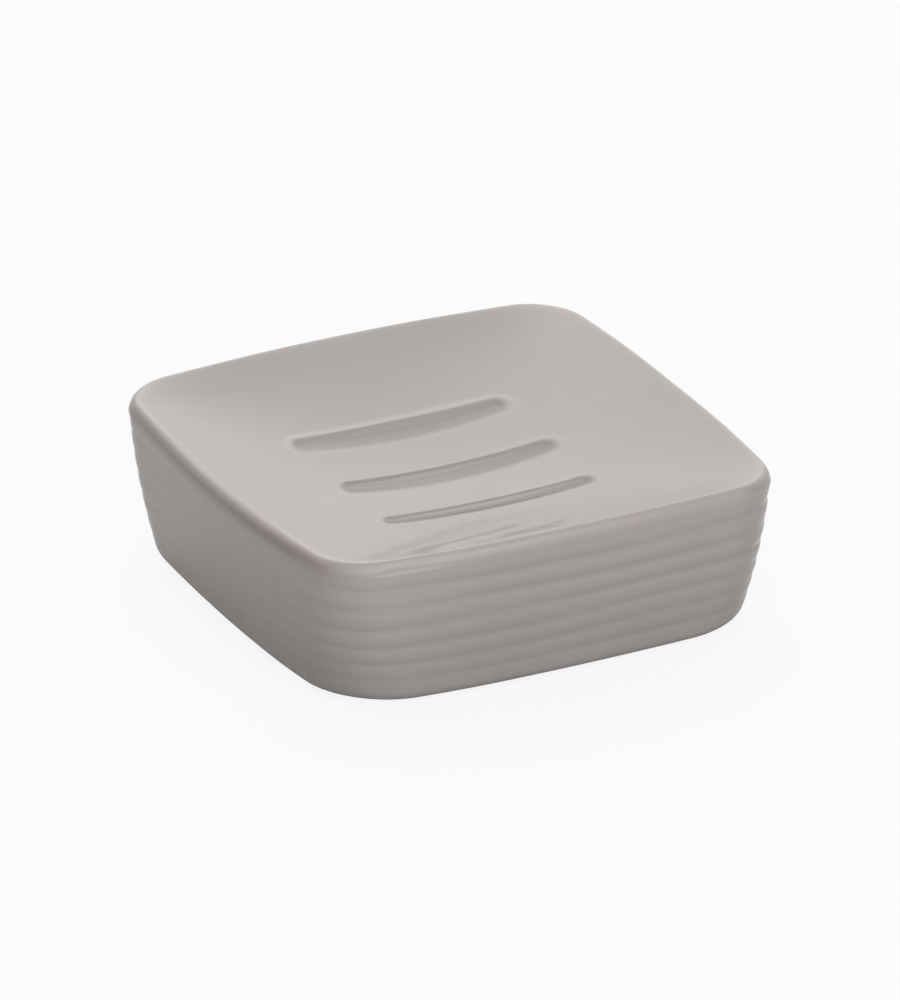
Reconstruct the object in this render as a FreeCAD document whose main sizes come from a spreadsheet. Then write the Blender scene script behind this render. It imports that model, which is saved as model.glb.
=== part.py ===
import FreeCAD, Part
import math
import os

import Sketcher

# Soap dish: one hollow glazed ceramic body, a stopper in its base and four stuck-on foot pads.
# Millimetres, +Z up, +Y to the rear. The origin is the centre of the surface that the pads stand on.

# Driving sizes, each an entry of the sheet
SIZES = {
    # Plan of the body at its widest line, just below the rim
    "dish_width": 110.0,
    "dish_depth": 110.0,
    "side_radius": 525.0,
    "rim_corner_radius": 12.75,
    "foot_corner_radius": 18.9,
    # Height of the ceramic and the lean of its wall towards the foot
    "body_height": 34.5,
    "foot_inset": 3.5,
    "foot_round": 2.5,
    # Rounded rim
    "rim_round_height": 3.6,
    "rim_round_width": 2.6,
    # Soft ribs round the wall: crest to first valley, last valley to foot, mean spacing and depth
    "first_valley_drop": 6.0,
    "foot_band_height": 6.5,
    "rib_pitch": 4.4,
    "rib_depth": 0.3,
    # Dished top
    "bowl_depth": 9.7,
    "bowl_overlap": 0.8,
    # Drain grooves in the floor
    "groove_length": 50.5,
    "groove_width": 6.6,
    "groove_depth": 1.3,
    "groove_pitch": 21.0,
    # Ceramic thickness
    "wall_thickness": 4.5,
    "floor_thickness": 6.5,
    "base_thickness": 4.5,
    # Underside
    "foot_ring_width": 6.5,
    "foot_recess_depth": 1.4,
    "pour_hole_diameter": 16.0,
    # Stopper
    "plug_clearance": 0.1,
    "plug_flange_width": 3.0,
    "plug_flange_thickness": 1.0,
    "plug_wall": 1.6,
    "plug_bead_width": 0.6,
    "plug_bead_height": 2.4,
    # Foot pads and their adhesive
    "pad_diameter": 12.0,
    "pad_thickness": 2.0,
    "pad_edge_round": 0.4,
    "pad_margin": 3.0,
    "adhesive_thickness": 0.2,
    "adhesive_margin": 0.3,
    # How far cuts run past the faces that they open
    "overrun": 2.0,
}

GROOVE_COUNT = 3
# Ribs are this share wider apart than the mean at the rim, and as much closer at the foot
RIB_CROWDING_SHARE = 0.1
# Steps of a quarter round, from its start on the wall to its end
ROUND_TURN_SHARES = (0, 1 / 3, 2 / 3, 1)
# The dished surface runs past the bowl's edge to this share of its half width
BOWL_COVER_SHARE = 1.12
# Share of the bowl's fall along X that follows a fourth power, which makes its middle flatter
BOWL_FLAT_SHARE = 0.2

# Formulas shared by several pieces
FOOT_LIFT = "(Sizes.pad_thickness + Sizes.adhesive_thickness - Sizes.foot_recess_depth)"
BASE_UNDERSIDE = f"({FOOT_LIFT} + Sizes.foot_recess_depth)"
BOWL_HALF_WIDTH = "(Sizes.dish_width / 2 - Sizes.rim_round_width + Sizes.bowl_overlap)"
BOWL_HALF_DEPTH = "(Sizes.dish_depth / 2 - Sizes.rim_round_width + Sizes.bowl_overlap)"
RECESS_INSET = "(Sizes.foot_inset + Sizes.foot_round + Sizes.foot_ring_width)"
PAD_OFFSET_X = f"(Sizes.dish_width / 2 - {RECESS_INSET} - Sizes.pad_margin - Sizes.pad_diameter / 2)"
PAD_OFFSET_Y = f"(Sizes.dish_depth / 2 - {RECESS_INSET} - Sizes.pad_margin - Sizes.pad_diameter / 2)"

doc = FreeCAD.newDocument("soap_dish")
sheet = doc.addObject("Spreadsheet::Sheet", "Sizes")
for row, (alias, value) in enumerate(SIZES.items(), start=1):
    sheet.set(f"A{row}", alias)
    sheet.set(f"B{row}", str(value))
    sheet.setAlias(f"B{row}", alias)
doc.recompute()


def measure(formula):
    """Value of a formula of the sheet's sizes."""
    return float(sheet.evalExpression(formula))


def plane(body, role):
    """Origin plane or axis of a body."""
    return next(feature for feature in body.Origin.OriginFeatures if feature.Role == role)


def new_sketch(body, name, role, level=None):
    """Empty sketch on one of the body's origin planes, raised by the formula in level."""
    sketch = body.newObject("Sketcher::SketchObject", name)
    sketch.AttachmentSupport = [(plane(body, role), "")]
    sketch.MapMode = "FlatFace"
    if level:
        sketch.setExpression("AttachmentOffset.Base.z", level)
    return sketch


def dimension(sketch, name, kind, references, formula):
    """Named dimension of a sketch, bound to a formula of the sheet's sizes."""
    index = sketch.addConstraint(Sketcher.Constraint(kind, *references, measure(formula)))
    sketch.renameConstraint(index, name)
    sketch.setExpression(f"Constraints.{name}", formula)


def circle_sketch(body, name, diameter):
    """Circle about the body's own axis."""
    sketch = new_sketch(body, name, "XY_Plane")
    up = FreeCAD.Vector(0, 0, 1)
    sketch.addGeometry(Part.Circle(FreeCAD.Vector(), up, measure(diameter) / 2))
    sketch.addConstraint(Sketcher.Constraint("Coincident", 0, 3, -1, 1))
    dimension(sketch, "diameter", "Diameter", (0,), diameter)
    return sketch


def outline_sketch(body, name, level, inset, corner_radius):
    """Plan of the dish at one level: four slightly bulged sides and four rounded corners, all tangent."""
    sketch = new_sketch(body, name, "XY_Plane", level)
    side = measure("Sizes.side_radius")
    corner = measure(corner_radius)
    # Distance from the middle of the dish to the centre of each side's arc, on the far side
    reach_x = f"Sizes.side_radius - Sizes.dish_width / 2 + ({inset})"
    reach_y = f"Sizes.side_radius - Sizes.dish_depth / 2 + ({inset})"
    far_x = measure(reach_x)
    far_y = measure(reach_y)
    # Centre of the corner that touches both arcs from inside
    slope = far_x / far_y
    shift = (far_x ** 2 - far_y ** 2) / (2 * far_y)
    square = 1 + slope ** 2
    half = far_x + shift * slope
    rest = far_x ** 2 + shift ** 2 - (side - corner) ** 2
    centre_x = (math.sqrt(half ** 2 - square * rest) - half) / square
    centre_y = shift + slope * centre_x
    low_turn = math.atan2(centre_y, centre_x + far_x)
    high_turn = math.atan2(centre_y + far_y, centre_x)
    quarter = math.pi / 2
    # Arcs in order round the plan, sides and corners by turns, starting at the right side
    arcs = [
        (-far_x, 0, side, -low_turn, low_turn),
        (centre_x, centre_y, corner, low_turn, high_turn),
        (0, -far_y, side, high_turn, 2 * quarter - high_turn),
        (-centre_x, centre_y, corner, 2 * quarter - high_turn, 2 * quarter - low_turn),
        (far_x, 0, side, 2 * quarter - low_turn, 2 * quarter + low_turn),
        (-centre_x, -centre_y, corner, 2 * quarter + low_turn, 2 * quarter + high_turn),
        (0, far_y, side, 2 * quarter + high_turn, 4 * quarter - high_turn),
        (centre_x, -centre_y, corner, 4 * quarter - high_turn, 4 * quarter - low_turn),
    ]
    up = FreeCAD.Vector(0, 0, 1)
    for middle_x, middle_y, radius, start, end in arcs:
        circle = Part.Circle(FreeCAD.Vector(middle_x, middle_y, 0), up, radius)
        sketch.addGeometry(Part.ArcOfCircle(circle, start, end))
    for index in range(len(arcs)):
        sketch.addConstraint(Sketcher.Constraint("Tangent", index, 2, (index + 1) % len(arcs), 1))
    for index in (2, 4, 6):
        sketch.addConstraint(Sketcher.Constraint("Equal", 0, index))
        sketch.addConstraint(Sketcher.Constraint("Equal", 1, index + 1))
    sketch.addConstraint(Sketcher.Constraint("PointOnObject", 0, 3, -1))
    sketch.addConstraint(Sketcher.Constraint("PointOnObject", 2, 3, -2))
    sketch.addConstraint(Sketcher.Constraint("Symmetric", 0, 3, 4, 3, -1, 1))
    sketch.addConstraint(Sketcher.Constraint("Symmetric", 2, 3, 6, 3, -1, 1))
    dimension(sketch, "side_arc", "Radius", (0,), "Sizes.side_radius")
    dimension(sketch, "corner_arc", "Radius", (1,), corner_radius)
    dimension(sketch, "reach_x", "DistanceX", (0, 3, -1, 1), reach_x)
    dimension(sketch, "reach_y", "DistanceY", (2, 3, -1, 1), reach_y)
    return sketch


def lofted_body(name, sections):
    """Smooth solid through plans of the dish, listed from the foot up."""
    body = doc.addObject("PartDesign::Body", name)
    sketches = []
    for index, (level, inset, corner_radius) in enumerate(sections):
        sketches.append(outline_sketch(body, f"{name}_plan_{index}", level, inset, corner_radius))
    loft = body.newObject("PartDesign::AdditiveLoft", f"{name}_loft")
    loft.Profile = (sketches[0], [""])
    loft.Sections = [(sketch, [""]) for sketch in sketches[1:]]
    return body


def lean(level):
    """How far the wall's ridge line has come in from the widest line at a level above the foot."""
    return f"Sizes.foot_inset * (1 - ({level}) / Sizes.body_height)^2"


def corner_at(level):
    """Corner radius of the wall at a level above the foot."""
    growth = "(Sizes.rim_corner_radius - Sizes.foot_corner_radius)"
    return f"Sizes.foot_corner_radius + {growth} * ({level}) / Sizes.body_height"


def wall_section(level, extra_inset):
    """Level, inset and corner radius of one plan of the outer wall."""
    return level, f"{lean(level)} + {extra_inset}", corner_at(level)


def quarter_round():
    """Shares along and across a quarter round, from its start on the wall."""
    for turn_share in ROUND_TURN_SHARES:
        turn = turn_share * math.pi / 2
        yield math.sin(turn), 1 - math.cos(turn)


def outer_sections():
    """Plans of the outer wall from the foot to the crest of the rim."""
    sections = []
    for along, across in quarter_round():
        level = f"Sizes.foot_round * {1 - along}"
        sections.insert(0, wall_section(level, f"Sizes.foot_round * {across}"))
    band_middle = "(Sizes.foot_round + Sizes.foot_band_height) / 2"
    sections.append(wall_section(band_middle, "0"))
    span = "(Sizes.body_height - Sizes.first_valley_drop - Sizes.foot_band_height)"
    rib_count = max(1, round(measure(f"{span} / Sizes.rib_pitch")))
    # Valleys at whole ribs and ridges at half ribs, counted up from the last valley
    for half_rib in range(2 * rib_count + 1):
        climb = half_rib / (2 * rib_count)
        climb_share = climb * (1 - RIB_CROWDING_SHARE) + RIB_CROWDING_SHARE * climb ** 2
        depth_share = 1 - half_rib % 2
        level = f"Sizes.foot_band_height + {span} * {climb_share}"
        sections.append(wall_section(level, f"Sizes.rib_depth * {depth_share}"))
    for along, across in quarter_round():
        level = f"Sizes.body_height - Sizes.rim_round_height * {1 - along}"
        sections.append(wall_section(level, f"Sizes.rim_round_width * {across}"))
    return sections


def outer_form():
    """Solid outer form of the body, with the recess and the pour hole opened from below."""
    body = lofted_body("outer_form", outer_sections())
    recess_corner = "Sizes.foot_corner_radius - Sizes.foot_round - Sizes.foot_ring_width"
    recess_plan = outline_sketch(body, "foot_recess_plan", "0", RECESS_INSET, recess_corner)
    recess = body.newObject("PartDesign::Pocket", "foot_recess")
    recess.Profile = recess_plan
    recess.Reversed = True
    recess.setExpression("Length", "Sizes.foot_recess_depth")
    hole_plan = circle_sketch(body, "pour_hole_plan", "Sizes.pour_hole_diameter")
    hole = body.newObject("PartDesign::Pocket", "pour_hole")
    hole.Profile = hole_plan
    hole.Reversed = True
    hole.setExpression("Length", "Sizes.foot_recess_depth + Sizes.base_thickness + Sizes.overrun")
    return body


def space_above_dished_surface(name, rim_level):
    """Everything above the dished surface whose level edge lies at rim_level.

    The surface falls from its edge as a flattened parabola along X times a parabola along Y, so it
    is level all along its edge. Five poles along X and three along Y describe it exactly.
    """
    reach_x = BOWL_COVER_SHARE * measure(BOWL_HALF_WIDTH)
    reach_y = BOWL_COVER_SHARE * measure(BOWL_HALF_DEPTH)
    bend = (1 - BOWL_FLAT_SHARE) * BOWL_COVER_SHARE ** 2
    flat = BOWL_FLAT_SHARE * BOWL_COVER_SHARE ** 4
    end_share = 1 - bend - flat
    next_share = 1 + flat
    middle_share = 1 + bend / 3 - flat
    shares_x = (end_share, next_share, middle_share, next_share, end_share)
    shares_y = (1 - BOWL_COVER_SHARE ** 2, 1 + BOWL_COVER_SHARE ** 2, 1 - BOWL_COVER_SHARE ** 2)
    patch = Part.BezierSurface()
    patch.increase(len(shares_x) - 1, len(shares_y) - 1)
    for column, share_x in enumerate(shares_x):
        place_x = reach_x * (2 * column / (len(shares_x) - 1) - 1)
        for line, share_y in enumerate(shares_y):
            place_y = reach_y * (2 * line / (len(shares_y) - 1) - 1)
            fall = measure("Sizes.bowl_depth") * share_x * share_y
            patch.setPole(column + 1, line + 1, FreeCAD.Vector(place_x, place_y, -fall))
    surface = doc.addObject("Part::Feature", f"{name}_surface")
    surface.Shape = patch.toShape()
    surface.setExpression("Placement.Base.z", rim_level)
    space = doc.addObject("Part::Extrusion", name)
    space.Base = surface
    space.DirMode = "Custom"
    space.Dir = FreeCAD.Vector(0, 0, 1)
    space.Solid = True
    space.setExpression("LengthFwd", "Sizes.body_height")
    return space


def groove_space(index):
    """Round-bottomed groove with ball ends that follows the curve of the floor along X."""
    body = doc.addObject("PartDesign::Body", f"groove_{index}")
    place = f"(Sizes.groove_pitch * {index - (GROOVE_COUNT - 1) / 2})"
    # Floor under the groove: its fall below the rim, its tilt across and its curve along the groove
    across_share = f"(1 - ({place} / {BOWL_HALF_DEPTH})^2)"
    floor_level = f"(Sizes.body_height - Sizes.bowl_depth * {across_share})"
    tilt = f"(2 * Sizes.bowl_depth * {place} / {BOWL_HALF_DEPTH}^2)"
    half_run = "((Sizes.groove_length - Sizes.groove_width) / 2)"
    bend_share = f"(1 - {BOWL_FLAT_SHARE} * (1 - ({half_run} / {BOWL_HALF_WIDTH})^2))"
    floor_curve = f"({BOWL_HALF_WIDTH}^2 / (2 * Sizes.bowl_depth * {across_share} * {bend_share}))"
    # Round section through both lips and the bottom, with its centre above the floor
    ball = "((Sizes.groove_width^2 / 4 + Sizes.groove_depth^2) / (2 * Sizes.groove_depth))"
    stand = f"({ball} - Sizes.groove_depth)"
    centre_y = f"({place} - {tilt} / sqrt(1 + {tilt}^2) * {stand})"
    centre_z = f"({floor_level} + {stand} / sqrt(1 + {tilt}^2))"
    path_radius = f"({floor_curve} - {stand})"
    half_turn = f"asin({half_run} / {path_radius})"

    section = new_sketch(body, f"groove_{index}_section", "YZ_Plane")
    middle = FreeCAD.Vector(measure(centre_y), measure(centre_z), 0)
    pivot_level = f"({centre_z} + {path_radius})"
    pivot = FreeCAD.Vector(0, measure(pivot_level), 0)
    arm = FreeCAD.Vector(measure(path_radius), 0, 0)
    section.addGeometry(Part.Circle(middle, FreeCAD.Vector(0, 0, 1), measure(ball)))
    section.addGeometry(Part.LineSegment(pivot, pivot + arm), True)
    dimension(section, "ball", "Radius", (0,), ball)
    dimension(section, "centre_y", "DistanceX", (-1, 1, 0, 3), centre_y)
    dimension(section, "centre_z", "DistanceY", (-1, 1, 0, 3), centre_z)
    section.addConstraint(Sketcher.Constraint("Horizontal", 1))
    section.addConstraint(Sketcher.Constraint("PointOnObject", 1, 1, -2))
    dimension(section, "pivot_level", "DistanceY", (-1, 1, 1, 1), pivot_level)
    dimension(section, "arm", "DistanceX", (1, 1, 1, 2), path_radius)
    run = body.newObject("PartDesign::Revolution", f"groove_{index}_run")
    run.Profile = section
    run.ReferenceAxis = (section, ["Axis0"])
    run.Midplane = True
    run.setExpression("Angle", f"2 * {half_turn}")
    for side in (-1, 1):
        end = body.newObject("PartDesign::AdditiveSphere", f"groove_{index}_end")
        end.AttachmentSupport = [(plane(body, "XY_Plane"), "")]
        end.MapMode = "FlatFace"
        end.setExpression("Radius", ball)
        end.setExpression("AttachmentOffset.Base.x", f"{side} * {half_run}")
        end.setExpression("AttachmentOffset.Base.y", centre_y)
        rise = f"{path_radius} * (1 - cos({half_turn}))"
        end.setExpression("AttachmentOffset.Base.z", f"{centre_z} + {rise}")
    return body


def cavity_space():
    """Hollow inside the slip-cast body, one wall in from the outside and one floor below the bowl."""
    sections = []
    lowest = "(Sizes.foot_recess_depth + Sizes.base_thickness)"
    for climb_share in (0, 1 / 2, 1):
        level = f"({lowest} + (Sizes.body_height - {lowest}) * {climb_share})"
        inset = f"{lean(level)} + Sizes.rib_depth + Sizes.wall_thickness"
        sections.append((level, inset, f"{corner_at(level)} - Sizes.wall_thickness"))
    form = lofted_body("cavity_form", sections)
    ceiling_level = "Sizes.body_height - Sizes.floor_thickness"
    ceiling = space_above_dished_surface("cavity_ceiling", ceiling_level)
    cavity = doc.addObject("Part::Cut", "cavity")
    cavity.Base = form
    cavity.Tool = ceiling
    return cavity


def dish_body():
    """Glazed ceramic body: outer form less the bowl, the grooves and the hollow inside."""
    spaces = [space_above_dished_surface("bowl", "Sizes.body_height")]
    for index in range(GROOVE_COUNT):
        spaces.append(groove_space(index))
    top = doc.addObject("Part::MultiFuse", "top_spaces")
    top.Shapes = spaces
    dished = doc.addObject("Part::Cut", "dished_form")
    dished.Base = outer_form()
    dished.Tool = top
    body = doc.addObject("Part::Cut", "dish_body")
    body.Base = dished
    body.Tool = cavity_space()
    body.setExpression("Placement.Base.z", FOOT_LIFT)
    return body


def pour_hole_plug():
    """Soft stopper: a flange under the base, a hollow stem in the pour hole and a bead above it."""
    body = doc.addObject("PartDesign::Body", "pour_hole_plug")
    stem = "(Sizes.pour_hole_diameter / 2 - Sizes.plug_clearance)"
    flange = "(Sizes.pour_hole_diameter / 2 + Sizes.plug_flange_width)"
    bore = f"({stem} - Sizes.plug_wall)"
    bead = f"({stem} + Sizes.plug_bead_width)"
    seat = "Sizes.plug_flange_thickness"
    bead_foot = f"({seat} + Sizes.base_thickness + Sizes.plug_clearance)"
    crown = f"({bead_foot} + Sizes.plug_bead_height)"
    # Half section round the axis, as radius and height above the flange's underside
    corners = [
        (bore, "0"),
        (flange, "0"),
        (flange, seat),
        (stem, seat),
        (stem, bead_foot),
        (bead, f"{bead_foot} + Sizes.plug_bead_width"),
        (bore, crown),
        ("0", crown),
        ("0", f"{crown} - Sizes.plug_wall"),
        (bore, f"{crown} - Sizes.plug_wall"),
    ]
    section = new_sketch(body, "plug_section", "XZ_Plane")
    points = [FreeCAD.Vector(measure(radius), measure(height), 0) for radius, height in corners]
    for index, point in enumerate(points):
        section.addGeometry(Part.LineSegment(point, points[(index + 1) % len(points)]))
    for index, (radius, height) in enumerate(corners):
        section.addConstraint(Sketcher.Constraint("Coincident", index, 2, (index + 1) % len(points), 1))
        if radius == "0":
            section.addConstraint(Sketcher.Constraint("PointOnObject", index, 1, -2))
        else:
            dimension(section, f"radius_{index}", "DistanceX", (-1, 1, index, 1), radius)
        if height == "0":
            section.addConstraint(Sketcher.Constraint("PointOnObject", index, 1, -1))
        else:
            dimension(section, f"height_{index}", "DistanceY", (-1, 1, index, 1), height)
    turn = body.newObject("PartDesign::Revolution", "plug_turn")
    turn.Profile = section
    turn.ReferenceAxis = (section, ["V_Axis"])
    body.setExpression("Placement.Base.z", f"{BASE_UNDERSIDE} - Sizes.plug_flange_thickness")
    return body


def disc(name, diameter, thickness, side_x, side_y, level):
    """Flat disc under one corner of the dish."""
    body = doc.addObject("PartDesign::Body", name)
    pad = body.newObject("PartDesign::Pad", f"{name}_pad")
    pad.Profile = circle_sketch(body, f"{name}_plan", diameter)
    pad.setExpression("Length", thickness)
    body.setExpression("Placement.Base.x", f"{side_x} * {PAD_OFFSET_X}")
    body.setExpression("Placement.Base.y", f"{side_y} * {PAD_OFFSET_Y}")
    body.setExpression("Placement.Base.z", level)
    return body


def foot_pad(corner, side_x, side_y):
    """Non-slip pad with a rounded lower edge, standing on the surface below the dish."""
    name = f"foot_pad_{corner}"
    body = disc(name, "Sizes.pad_diameter", "Sizes.pad_thickness", side_x, side_y, "0")
    doc.recompute()
    flat_disc = body.Tip
    edges = flat_disc.Shape.Edges
    lowest = min(range(len(edges)), key=lambda index: edges[index].BoundBox.ZMax)
    edge_round = body.newObject("PartDesign::Fillet", f"{name}_edge")
    edge_round.Base = (flat_disc, [f"Edge{lowest + 1}"])
    edge_round.setExpression("Radius", "Sizes.pad_edge_round")
    return body


def pad_adhesive(corner, side_x, side_y):
    """Film of adhesive between a pad and the base of the dish."""
    diameter = "Sizes.pad_diameter - 2 * Sizes.adhesive_margin"
    name = f"pad_adhesive_{corner}"
    return disc(name, diameter, "Sizes.adhesive_thickness", side_x, side_y, "Sizes.pad_thickness")


pieces = [dish_body(), pour_hole_plug()]
for side, side_y in (("front", -1), ("rear", 1)):
    for hand, side_x in (("left", -1), ("right", 1)):
        pieces.append(foot_pad(f"{side}_{hand}", side_x, side_y))
        pieces.append(pad_adhesive(f"{side}_{hand}", side_x, side_y))
doc.recompute()

for item in doc.Objects:
    if "Invalid" in item.State or "Error" in item.State:
        raise RuntimeError(f"{item.Name} did not build: {item.State}")
for piece in pieces:
    if piece.Shape.isNull() or not piece.Shape.isValid() or len(piece.Shape.Solids) != 1:
        raise RuntimeError(f"{piece.Label} is not one valid solid")

os.makedirs("parts", exist_ok=True)
for piece in pieces:
    piece.Shape.exportStep(f"parts/{piece.Label}.step")
    box = piece.Shape.optimalBoundingBox()
    print(f"{piece.Label}: {piece.Shape.Volume:.1f} mm3, z {box.ZMin:.2f} to {box.ZMax:.2f}")
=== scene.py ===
import math

import bmesh
import bpy
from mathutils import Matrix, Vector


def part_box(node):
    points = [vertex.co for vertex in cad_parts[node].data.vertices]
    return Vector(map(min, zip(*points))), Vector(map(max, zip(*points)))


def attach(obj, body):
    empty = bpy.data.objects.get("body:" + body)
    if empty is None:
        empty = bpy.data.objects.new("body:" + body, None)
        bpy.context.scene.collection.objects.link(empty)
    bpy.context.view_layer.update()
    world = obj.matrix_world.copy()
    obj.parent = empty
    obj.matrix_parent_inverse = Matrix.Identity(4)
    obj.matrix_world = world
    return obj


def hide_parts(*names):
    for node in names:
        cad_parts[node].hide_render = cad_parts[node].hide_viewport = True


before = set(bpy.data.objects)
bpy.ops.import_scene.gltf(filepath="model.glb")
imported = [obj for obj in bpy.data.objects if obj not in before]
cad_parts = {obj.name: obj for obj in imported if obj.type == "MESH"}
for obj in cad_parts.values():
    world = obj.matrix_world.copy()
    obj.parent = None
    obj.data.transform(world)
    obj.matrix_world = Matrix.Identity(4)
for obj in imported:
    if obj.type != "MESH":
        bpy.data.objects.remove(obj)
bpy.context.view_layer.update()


# Dish body.
# One slip-cast stoneware shell, square with rounded corners and a wall that draws in towards the foot.
# Soft uneven ribs run round the wall, and three drain grooves are pressed into the dished floor.
dish_low, dish_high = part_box("dish_body")
dish_half = dish_high.x
foot_level = dish_low.z
body_height = 0.0345
rim_level = foot_level + body_height
side_radius = 0.525
rim_corner = 0.01275
foot_corner = 0.0189
foot_draw_in = 0.0035
foot_round = 0.0025
tiny = 1e-9


def plan_reach(angle, inset, corner):
    """Distance from the middle of the dish to its outline, drawn in by inset, in one direction."""
    away = side_radius - dish_half + inset
    centre = (math.sqrt(2 * (side_radius - corner) ** 2 - away ** 2) - away) / 2
    stretch = side_radius / (side_radius - corner)
    touch = math.atan2(stretch * centre, stretch * (centre + away) - away)
    fold = abs((angle + math.pi / 4) % (math.pi / 2) - math.pi / 4)
    on_side = fold < touch
    middle_x = -away if on_side else centre
    middle_y = 0 if on_side else centre
    radius = side_radius if on_side else corner
    along = middle_x * math.cos(fold) + middle_y * math.sin(fold)
    return along + math.sqrt(along ** 2 - middle_x ** 2 - middle_y ** 2 + radius ** 2)


def corner_at(level):
    """Corner radius of the wall at a level."""
    return foot_corner + (rim_corner - foot_corner) * (level - foot_level) / body_height


def hump(away, spread):
    """Soft hump: 1 in its middle, fading out over a spread."""
    return math.exp(-(away / spread) ** 2)


# Rim: its outer round along the sides, and how much softer that is at the corners
rim_width = 0.0019
rim_height = 0.0031
corner_extra_width = 0.0008
corner_extra_height = 0.0006


def rim_round(angle):
    """Width and height of the rim's outer round in one direction."""
    corner_share = math.sin(2 * angle) ** 4
    return rim_width + corner_extra_width * corner_share, rim_height + corner_extra_height * corner_share


# Hand-finished outline: where it swells or falls back, how far, and over what angle
left_swell = 0.0010
left_swell_spread = 0.6
right_fall = 0.0006
right_fall_spread = 0.45
corner_fall = 0.0012
corner_fall_angle = -2.356
corner_fall_spread = 0.26
lip_fall = 0.0017
lip_fall_angle = -2.22
lip_fall_spread = 0.2


def sway(angle, share):
    """How far the outline leaves the true one in one direction, at a share of the height."""
    left = left_swell * share * hump(math.pi - abs(angle), left_swell_spread)
    right = right_fall * hump(angle, right_fall_spread)
    corner = corner_fall * hump(angle - corner_fall_angle, corner_fall_spread)
    lip = lip_fall * share ** 2 * hump(angle - lip_fall_angle, lip_fall_spread)
    return left - right - corner - lip


# Dished floor: level along the rim, and flatter along the grooves on its front and rear slopes
bowl_depth = 0.0097
bowl_half = 0.0532
middle_flatness = 0.2
slope_flatness = 1.2
crest_blend = 0.0003


def bowl_level(x, y, inset):
    """Level of the dish's top above a point, without the grooves."""
    along = (x / bowl_half) ** 2
    across = (y / bowl_half) ** 2
    flatness = min(1, middle_flatness + slope_flatness * across)
    fall = bowl_depth * (1 - along - flatness * along * (along - 1)) * (1 - across)
    width, height = rim_round(math.atan2(y, x))
    share = max(0, 1 - inset / width)
    rounding = height * (1 - math.sqrt(max(0, 1 - share ** 2)))
    return rim_level - (fall + rounding + math.hypot(fall - rounding, crest_blend)) / 2


# Drain grooves: a steep far side and a long slope up to the near one, which the front groove lacks.
# The outer two lie a little further left than the middle one.
groove_places = (-0.021, 0, 0.021)
groove_half = 0.0032
groove_depth = 0.0005
groove_reach = 0.0248
groove_lag = 0.05
groove_taper = 0.25
groove_run = groove_reach - groove_half * (1 - groove_taper)
near_slack = 0.0022
front_loss = 0.1
far_steepness = 6
near_easing = 4.7
inside_rim = 0.01

# Grooves: darker inside, partly pooled glaze and partly painted shade, most in the front one; pale far
# lips, partly thin glaze and partly painted highlight
far_ramp = 0.0004
near_ramp = 0.0024
pool_and_shade_gap = 0.0002
pool_and_shade_run = 0.0022
pool_and_shade_strength = 0.96
front_pool_and_shade = 10
pale_lip_reach = 0.001
pale_lip_gap = 0.9 * pale_lip_reach
lip_highlight_strength = 1.3
front_paleness = 0.4
front_paleness_run = 0.05


def floor_point(x, y):
    """Point of the floor, its pooled glaze and painted shade (above zero) or thin glaze and painted
    highlight (below zero), and no rim band.
    """
    place = min(groove_places, key=lambda middle: abs(y - middle))
    along = x + groove_lag * abs(place)
    beyond = math.copysign(max(abs(along) - groove_run, 0), along)
    gap = math.hypot(beyond, y - place)
    near = (1 - (y - place) / max(gap, tiny)) / 2
    slack = near_slack + front_loss * min(0, place)
    half = (groove_half + slack * near) * (1 - groove_taper * min(1, (along / groove_reach) ** 2))
    hollow = 1 - min(1, gap / half) ** (far_steepness - near_easing * near)
    level = bowl_level(x, y, inside_rim) - groove_depth * hollow
    # Painted shade: each groove darkens from its far lip towards its near side, partly pooled glaze, most
    # in the front groove.
    ramp = min(1, max(0, half - gap) / (far_ramp + near_ramp * near))
    from_far_lip = max(0, groove_half - pool_and_shade_gap - y + place)
    pool_and_shade = ramp * ramp * (3 - 2 * ramp) * min(1, from_far_lip / pool_and_shade_run)
    pool_and_shade *= pool_and_shade_strength - front_pool_and_shade * place
    # Painted highlight along the far lips, full on the rear groove and only at the right ends of the
    # others, partly thin glaze.
    lip = hump(gap - half - pale_lip_gap, pale_lip_reach) * (1 - near)
    paleness = 1 if place > 0 else min(front_paleness, max(0, x / front_paleness_run))
    return (x, y, level), pool_and_shade - lip_highlight_strength * lip * paleness, 0


# Ribs: valleys a little further apart at the rim than at the foot, nearly smoothed away on the left
first_valley_drop = 0.0068
foot_band_height = 0.0057
rib_count = 5
rib_depth = 0.0003
rib_crowding = 0.1
rib_fade = 0.5
rib_strength = 0.55
rib_strength_rise = 0.03
left_smoothing = 0.93
left_smoothing_spread = 0.85

# Unevenness as waves round the dish: size, count in one turn, shift from rib to rib, start
wander_waves = ((0.05, 3, 1.1, 0), (0.04, 7, -0.8, 2))
strength_waves = ((0.25, 4, 1.7, 0.6), (0.15, 9, 2.9, 0))


def rib_turn(level):
    """Count of ribs from the last valley above the foot up to a level."""
    span = body_height - first_valley_drop - foot_band_height
    share = (level - foot_level - foot_band_height) / span
    spread = 1 - rib_crowding
    return rib_count * (math.sqrt(spread ** 2 + 4 * rib_crowding * share) - spread) / (2 * rib_crowding)


def unevenness(waves, angle, turn):
    """Sum of waves round the dish, in one direction and at one rib."""
    return sum(size * math.sin(count * angle + shift * turn + start) for size, count, shift, start in waves)


# Left side: how far it reaches either way, as an angle, and how sharply it ends at its corners
left_reach = 0.75
left_sharpness = 8


def left_share(angle):
    """How far a direction points at the left side, from 0 to 1, fading out round its two corners."""
    return math.exp(-((math.pi - abs(angle)) / left_reach) ** left_sharpness)


# Darker band under the left rim: how far down it lies, and how it fades upwards and downwards
rim_band_drop = 0.0024
rim_band_fade_up = 0.001
rim_band_fade_down = 0.0018


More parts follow.
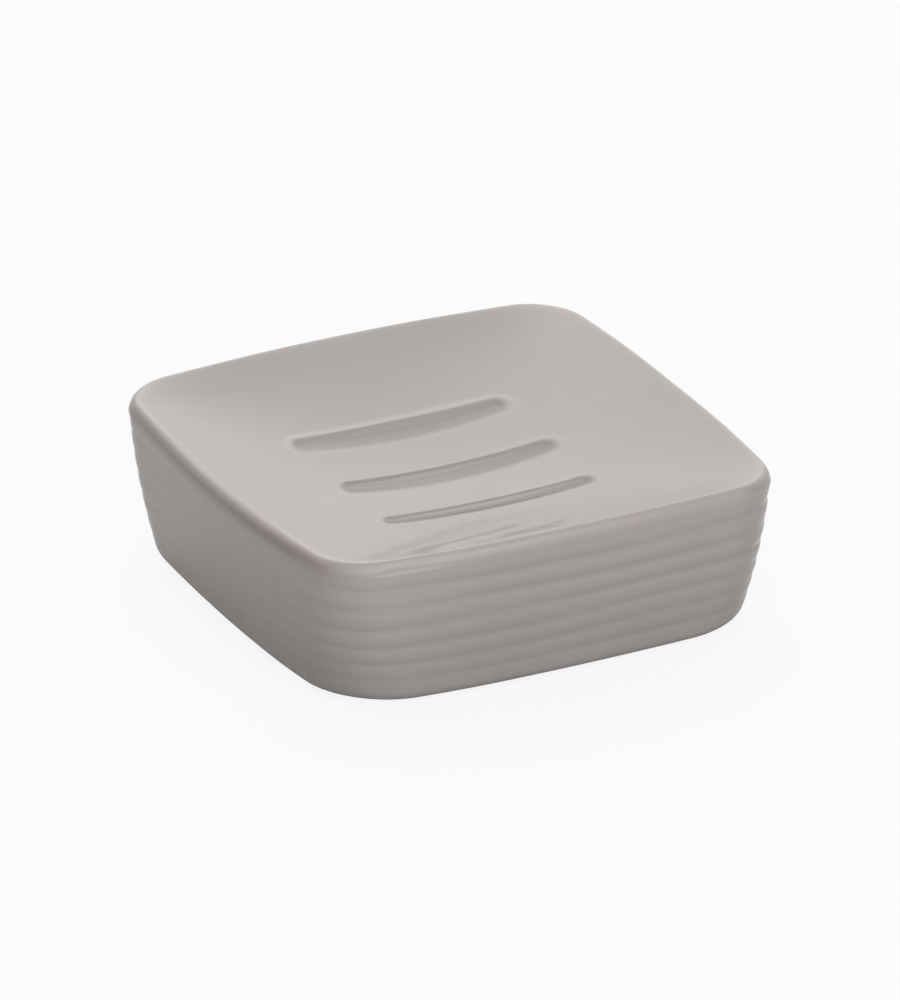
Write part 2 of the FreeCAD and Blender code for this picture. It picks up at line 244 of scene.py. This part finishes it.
def left_rim_band(angle, level):
    """How strong the darker band under the left rim is in one direction and at one level."""
    drop = rim_level - level - rim_band_drop
    return left_share(angle) * hump(drop, rim_band_fade_up if drop < 0 else rim_band_fade_down)


# Darker wall: glaze pooled in the valleys with painted shade there, and painted shade towards the foot,
# most of all on the left
valley_pool_and_shade = 0.18
foot_shade = 0.22
left_foot_shade = 0.33


def wall_point(angle, level):
    """Point of the ribbed wall in one direction, its pooled glaze and painted shade, and its share of the
    darker band under the left rim.
    """
    turn = rib_turn(level)
    strength = rib_strength + rib_strength_rise * turn
    strength *= 1 - left_smoothing * hump(math.pi - abs(angle), left_smoothing_spread)
    strength *= 1 + unevenness(strength_waves, angle, turn)
    fade = min(1, max(0, (turn + rib_fade) / rib_fade))
    fade *= min(1, max(0, (rib_count + rib_fade - turn) / rib_fade))
    wander = unevenness(wander_waves, angle, turn)
    valley = ((1 + math.cos(2 * math.pi * (turn + wander))) / 2) ** 2
    rib = strength * fade * valley
    share = (level - foot_level) / body_height
    lean = foot_draw_in * (1 - share) ** 2
    reach = plan_reach(angle, lean + rib_depth * rib, corner_at(level)) + sway(angle, share)
    # Painted shade towards the foot, strongest on the left, and in the valleys on top of pooled glaze.
    painted_foot_shade = foot_shade * (1 - share) + left_foot_shade * left_share(angle) * (1 - share) ** 2
    wall_pool_and_shade = valley_pool_and_shade * rib + painted_foot_shade
    return (reach * math.cos(angle), reach * math.sin(angle), level), wall_pool_and_shade, left_rim_band(angle, level)


def close_lines(places):
    """Places on both sides of the middle, in order and each once."""
    return sorted({round(side * place, 6) for place in places for side in (-1, 1)})


# Floor patch round the grooves: a flat plane cut along lines that crowd at the lips and groove ends
patch_half_x = 0.030
patch_half_y = 0.032
groove_steps = [0, 0.0008, 0.0016]
lip_steps = (-0.001, -0.0006, -0.0003, -0.00015, 0, 0.00015, 0.0003, 0.0006, 0.001, 0.0015, 0.0021, 0.0028)
land_places = (0.0072, 0.009, 0.0108, 0.0126, 0.0144, 0.0292, 0.0306)
middle_step = 0.0024
middle_steps = range(9)
end_step = 0.00033
end_steps = range(-4, 20)
last_line = 0.0291
groove_lines = close_lines(groove_steps + [groove_half + step for step in lip_steps])
lines_y = {round(place + line, 6) for place in groove_places for line in groove_lines}
lines_y |= set(close_lines(land_places))
middle_lines = [middle_step * step for step in middle_steps]
end_lines = [groove_run + end_step * step for step in end_steps]
lines_x = close_lines(middle_lines + end_lines)
lines_x += close_lines([last_line])

bpy.ops.object.select_all(action="DESELECT")
bpy.ops.mesh.primitive_plane_add(size=2)
dish = bpy.context.object
dish.name = "glazed_dish"
bpy.ops.object.mode_set(mode="EDIT")
bpy.ops.transform.resize(value=(patch_half_x, patch_half_y, 1))
for line in lines_x:
    bpy.ops.mesh.select_all(action="SELECT")
    bpy.ops.mesh.bisect(plane_co=(line, 0, 0), plane_no=(1, 0, 0))
for line in lines_y:
    bpy.ops.mesh.select_all(action="SELECT")
    bpy.ops.mesh.bisect(plane_co=(0, line, 0), plane_no=(0, 1, 0))

shape = bmesh.from_edit_mesh(dish.data)
# Per point: glaze with painted highlight and painted shade, and the darker band under the left rim.
glaze_light_layer = shape.verts.layers.float.new("glaze_and_painted_light")
rim_band_layer = shape.verts.layers.float.new("left_rim_band")
for point in shape.verts:
    point.co, point[glaze_light_layer], point[rim_band_layer] = floor_point(point.co.x, point.co.y)
bpy.ops.mesh.select_mode(type="EDGE")
bpy.ops.mesh.select_all(action="DESELECT")
bpy.ops.mesh.select_non_manifold(
    use_wire=False, use_multi_face=False, use_non_contiguous=False, use_verts=False
)


def draw_ring(place):
    """Extrude the open edge and put each new point where place says for its direction."""
    bpy.ops.mesh.extrude_edges_move()
    ring = bmesh.from_edit_mesh(dish.data)
    ring_glaze_light_layer = ring.verts.layers.float["glaze_and_painted_light"]
    ring_rim_band_layer = ring.verts.layers.float["left_rim_band"]
    for new in ring.verts:
        if new.select:
            new.co, new[ring_glaze_light_layer], new[ring_rim_band_layer] = place(math.atan2(new.co.y, new.co.x))


def patch_reach(angle):
    """Distance from the middle to the edge of the floor patch."""
    to_side = patch_half_x / max(abs(math.cos(angle)), tiny)
    to_end = patch_half_y / max(abs(math.sin(angle)), tiny)
    return min(to_side, to_end)


# Floor from the patch out to the rim
floor_rings = 14
floor_edge_gap = 0.0008
for step in range(1, floor_rings + 1):
    share = step / floor_rings

    def floor_ring(angle):
        edge = plan_reach(angle, rim_round(angle)[0] + floor_edge_gap, rim_corner) + sway(angle, 1)
        reach = patch_reach(angle) + (edge - patch_reach(angle)) * share
        return floor_point(reach * math.cos(angle), reach * math.sin(angle))

    draw_ring(floor_ring)

# Rim's round, with a pale crest, partly thin glaze and partly painted highlight, more on the left, and the
# darker band starting outside that
rim_rings = 16
crest_place = 0.6
crest_spread = 0.35
crest_paleness = 0.75
left_crest_paleness = 0.45
rim_band_start = 0.001
for step in range(rim_rings):

    def rim_ring(angle):
        width = rim_round(angle)[0]
        inset = width * (1 - math.sin(step / rim_rings * math.pi / 2))
        reach = plan_reach(angle, inset, rim_corner) + sway(angle, 1)
        x, y = reach * math.cos(angle), reach * math.sin(angle)
        level = bowl_level(x, y, inset)
        # Painted highlight along the crest, partly thin glaze, stronger on the left.
        crest = hump(inset / width - crest_place, crest_spread)
        crest *= crest_paleness + left_crest_paleness * left_share(angle)
        return (x, y, level), -crest, left_rim_band(angle, level) * min(1, (width - inset) / rim_band_start)

    draw_ring(rim_ring)

# Wall, then the foot's round
wall_rings = 62
wall_foot = foot_level + foot_round
for step in range(wall_rings + 1):

    def wall_ring(angle):
        wall_top = rim_level - rim_round(angle)[1]
        return wall_point(angle, wall_top + (wall_foot - wall_top) * step / wall_rings)

    draw_ring(wall_ring)

foot_rings = 6
for step in range(1, foot_rings + 1):
    turn = step / foot_rings * math.pi / 2
    level = wall_foot - foot_round * math.sin(turn)

    def foot_ring(angle):
        (x, y, _), glaze_light, _ = wall_point(angle, level)
        reach = math.hypot(x, y) - foot_round * (1 - math.cos(turn))
        return (reach * math.cos(angle), reach * math.sin(angle), level), glaze_light, 0

    draw_ring(foot_ring)

# Underside: foot ring, shallow recess, pour hole and the room for the stopper's head, closed inside
foot_ring_width = 0.0065
recess_inset = foot_draw_in + foot_round + foot_ring_width
recess_corner = foot_corner - foot_round - foot_ring_width
recess_depth = 0.0014
recess_level = foot_level + recess_depth
recess_shares = (0.25, 0.5, 0.75, 1)
base_thickness = 0.0045
hole_radius = 0.008
hole_top = recess_level + base_thickness
head_room_radius = 0.0105
head_room_top = 0.0115
smooth_below = math.radians(50)


def flat_ring(level, share, radius=hole_radius):
    """Ring of the underside, from the recess outline at share 0 to a circle at share 1."""
    def place(angle):
        outline = plan_reach(angle, recess_inset, recess_corner)
        reach = outline + (radius - outline) * share
        return (reach * math.cos(angle), reach * math.sin(angle), level), 0, 0
    return place


draw_ring(flat_ring(foot_level, 0))
draw_ring(flat_ring(recess_level, 0))
for share in recess_shares:
    draw_ring(flat_ring(recess_level, share))
draw_ring(flat_ring(hole_top, 1))
draw_ring(flat_ring(hole_top, 1, head_room_radius))
draw_ring(flat_ring(head_room_top, 1, head_room_radius))
bpy.ops.mesh.merge(type="CENTER")
bpy.ops.mesh.select_all(action="SELECT")
bpy.ops.mesh.normals_make_consistent(inside=False)
bpy.ops.object.mode_set(mode="OBJECT")
bpy.ops.object.shade_smooth_by_angle(angle=smooth_below)


class Signal:
    """One socket of a node tree, so that shader maths reads as plain sums."""

    def __init__(self, tree, socket=None):
        self.tree = tree
        self.socket = socket

    def add(self, kind, settings, inputs, output=0):
        """New node with its settings and the values or links of its sockets."""
        node = self.tree.nodes.new(kind)
        for name, value in settings.items():
            setattr(node, name, value)
        for name, value in inputs.items():
            if isinstance(value, Signal):
                self.tree.links.new(value.socket, node.inputs[name])
            else:
                node.inputs[name].default_value = value
        return Signal(self.tree, node.outputs[output])

    def sum(self, operation, first, second):
        """Math node on two numbers or signals."""
        return self.add("ShaderNodeMath", {"operation": operation}, {0: first, 1: second})

    def __add__(self, other):
        return self.sum("ADD", self, other)

    __radd__ = __add__

    def __sub__(self, other):
        return self.sum("SUBTRACT", self, other)

    def __rsub__(self, other):
        return self.sum("SUBTRACT", other, self)

    def __mul__(self, other):
        return self.sum("MULTIPLY", self, other)

    __rmul__ = __mul__

    def clamp(self):
        return self.add("ShaderNodeClamp", {}, {"Value": self})

    def noise(self, scale, detail=2, squash=1):
        """Noise in the piece's own space, in waves per metre, and squash times as many upwards."""
        place = self.add("ShaderNodeTexCoord", {}, {}, "Object")
        place = self.add("ShaderNodeVectorMath", {"operation": "MULTIPLY"}, {0: place, 1: (1, 1, squash)})
        return self.add("ShaderNodeTexNoise", {}, {"Vector": place, "Scale": scale, "Detail": detail})

    def mix(self, factor, first, second):
        """Colour between two colours."""
        return self.add("ShaderNodeMix", {"data_type": "RGBA"}, {0: factor, 6: first, 7: second}, 2)


def finish(name, **constants):
    """New material, its signal maker and its surface shader, with constants set on the shader."""
    made = bpy.data.materials.new(name)
    made.use_nodes = True
    shader = made.node_tree.nodes["Principled BSDF"]
    for socket, value in constants.items():
        shader.inputs[socket.replace("_", " ")].default_value = value
    return made, Signal(made.node_tree), shader


# Taupe glaze: pale on lips and crest (thin glaze and painted highlight), dark in hollows and towards the
# foot (pooled glaze and painted shade), a darker band under the left rim, faintly clouded
glaze_colour = (0.472, 0.435, 0.418, 1)
thin_glaze_and_highlight_colour = (0.570, 0.520, 0.500, 1)
pooled_glaze_and_shade_colour = (0.186, 0.157, 0.143, 1)
rim_band_colour = (0.310, 0.262, 0.262, 1)
glaze_light_share = 0.8
thin_cloud_share = 0.3
pooled_cloud_share = 0.22
rim_band_cloud_share = 0.1
spot_share = 0.6
spot_waves = 38
streak_share = 0.4
streak_waves = 70
streak_squash = 9
gloss_least = 0.012
gloss_range = 0.02
gloss_waves = 60
skin_waves = 220
speck_waves = 900
speck_share = 0.15
skin_strength = 0.05
skin_height = 0.0006
glaze_material, paint, shader = finish("taupe_glaze", IOR=1.5)
glaze_light = paint.add("ShaderNodeAttribute", {"attribute_name": "glaze_and_painted_light"}, {}, "Fac")
rim_band_share = paint.add("ShaderNodeAttribute", {"attribute_name": "left_rim_band"}, {}, "Fac")
spots = paint.noise(spot_waves, 3)
streaks = paint.noise(streak_waves, 3, streak_squash)
clouds = spot_share * spots + streak_share * streaks - 0.5
# Pale mix: thin glaze and painted highlight; dark mix: pooled glaze and painted shade; then the darker band
# under the left rim.
tint = paint.mix((glaze_light * -glaze_light_share + clouds * thin_cloud_share).clamp(), glaze_colour, thin_glaze_and_highlight_colour)
tint = paint.mix((glaze_light * glaze_light_share - clouds * pooled_cloud_share).clamp(), tint, pooled_glaze_and_shade_colour)
tint = paint.mix((rim_band_share + clouds * rim_band_cloud_share).clamp(), tint, rim_band_colour)
paint.tree.links.new(tint.socket, shader.inputs["Base Color"])
gloss = gloss_least + gloss_range * paint.noise(gloss_waves)
paint.tree.links.new(gloss.socket, shader.inputs["Roughness"])
skin = paint.noise(skin_waves) + speck_share * paint.noise(speck_waves, 1)
hollows = {"Height": skin, "Strength": skin_strength, "Distance": skin_height}
relief = paint.add("ShaderNodeBump", {}, hollows, "Normal")
paint.tree.links.new(relief.socket, shader.inputs["Normal"])
dish.data.materials.append(glaze_material)
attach(dish, "root")
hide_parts("dish_body")


# Stopper.
# A soft moulded cup, pushed into the pour hole from below and held by the bead above the base.
stopper_dull = (0.66, 0.64, 0.60, 1)
stopper_clear = (0.76, 0.74, 0.70, 1)
haze_waves = 400
stopper_material, paint, shader = finish("soft_stopper", Roughness=0.55)
haze = paint.noise(haze_waves, 3)
tint = paint.mix(haze, stopper_dull, stopper_clear)
paint.tree.links.new(tint.socket, shader.inputs["Base Color"])
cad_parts["pour_hole_plug"].data.materials.clear()
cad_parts["pour_hole_plug"].data.materials.append(stopper_material)


# Foot pads and their adhesive.
# Four discs die-cut from a sheet of black foam rubber, each stuck in the recess with a film of adhesive.
foam_dark = (0.030, 0.030, 0.032, 1)
foam_pale = (0.075, 0.075, 0.078, 1)
cell_waves = 2600
cell_strength = 0.4
cell_height = 0.0003
pad_material, paint, shader = finish("foam_rubber", Roughness=0.85)
cells = paint.noise(cell_waves)
tint = paint.mix(cells, foam_dark, foam_pale)
paint.tree.links.new(tint.socket, shader.inputs["Base Color"])
hollows = {"Height": cells, "Strength": cell_strength, "Distance": cell_height}
relief = paint.add("ShaderNodeBump", {}, hollows, "Normal")
paint.tree.links.new(relief.socket, shader.inputs["Normal"])
film_dark = (0.70, 0.66, 0.56, 1)
film_pale = (0.78, 0.75, 0.66, 1)
film_waves = 700
film_material, paint, shader = finish("adhesive_film", Roughness=0.45)
tint = paint.mix(paint.noise(film_waves), film_dark, film_pale)
paint.tree.links.new(tint.socket, shader.inputs["Base Color"])
for name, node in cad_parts.items():
    if name.startswith("foot_pad"):
        node.data.materials.clear()
        node.data.materials.append(pad_material)
    if name.startswith("pad_adhesive"):
        node.data.materials.clear()
        node.data.materials.append(film_material)


# Studio.
# A pale floor that shows as white and keeps a faint shadow of the dish.
# Broad soft patches of light stand round and above it, with one small lamp at the front.
floor_bounce = (0.28, 0.28, 0.28, 1)
floor_seen = (0.96, 0.96, 0.96, 1)
white_share = 0.88
floor_width = 8
bpy.ops.object.select_all(action="DESELECT")
bpy.ops.mesh.primitive_plane_add(size=floor_width)
floor = bpy.context.object
floor.name = "floor"
floor_material, paint, shader = finish("pale_floor", Roughness=0.9)
camera_ray = paint.add("ShaderNodeLightPath", {}, {}, "Is Camera Ray")
glossy_ray = paint.add("ShaderNodeLightPath", {}, {}, "Is Glossy Ray")
clear_ray = paint.add("ShaderNodeLightPath", {}, {}, "Is Transmission Ray")
seen = (camera_ray + glossy_ray + clear_ray).clamp()
tint = paint.mix(seen, floor_bounce, floor_seen)
paint.tree.links.new(tint.socket, shader.inputs["Base Color"])
glow = paint.add("ShaderNodeEmission", {}, {"Color": (1, 1, 1, 1), "Strength": 1})
surface = Signal(paint.tree, shader.outputs[0])
cover = paint.add("ShaderNodeMixShader", {}, {0: camera_ray * white_share, 1: surface, 2: glow})
paint.tree.links.new(cover.socket, paint.tree.nodes["Material Output"].inputs["Surface"])
floor.data.materials.append(floor_material)

surround_colour = (1.012, 0.998, 0.990, 1)
surround = bpy.data.worlds.new("white_surround")
bpy.context.scene.world = surround
surround.use_nodes = True
paint = Signal(surround.node_tree)
heading = paint.add("ShaderNodeTexCoord", {}, {}, "Generated")


def lobe(axis, tightness):
    """Soft round patch of light in one direction of the surround."""
    facing = paint.add("ShaderNodeVectorMath", {"operation": "DOT_PRODUCT"}, {0: heading, 1: axis}, "Value")
    return paint.sum("POWER", facing.clamp(), tightness)


rear_top_light = 1.61 * lobe((0, 0.7071, 0.7071), 6)
rear_right_light = 1.28 * lobe((0.665, 0.665, 0.34), 5)
rear_left_light = 0.43 * lobe((-0.665, 0.665, 0.34), 5)
front_light = 0.91 * lobe((0, -0.94, 0.34), 5)
broad_front_light = 1.72 * lobe((-0.34, -0.94, 0), 2)
front_lamp = 1.4 * lobe((0.32, -0.83, 0.45), 80)
light = rear_top_light + rear_right_light + rear_left_light + front_light + broad_front_light + front_lamp
paint.tree.links.new(light.socket, surround.node_tree.nodes["Background"].inputs["Strength"])
surround.node_tree.nodes["Background"].inputs["Color"].default_value = surround_colour


# Camera.
# Far off and long, as the photograph's level lines show, at its own height and side.
look_azimuth = math.radians(-26.81)
look_elevation = math.radians(25.05)
look_distance = 3.061
look_at = (0.00126, 0.00183, body_height / 2 + foot_level)
lens_pixels = 14558
picture_height = 1000
view = bpy.data.cameras.new("view")
view.lens = lens_pixels * view.sensor_width / picture_height
view.clip_end = 20
camera = bpy.data.objects.new("view", view)
bpy.context.scene.collection.objects.link(camera)
level_reach = look_distance * math.cos(look_elevation)
camera.location = (
    look_at[0] + level_reach * math.sin(look_azimuth),
    look_at[1] - level_reach * math.cos(look_azimuth),
    look_at[2] + look_distance * math.sin(look_elevation),
)
camera.rotation_euler = (math.pi / 2 - look_elevation, 0, look_azimuth)
bpy.context.scene.camera = camera
bpy.context.scene.view_settings.view_transform = "Standard"
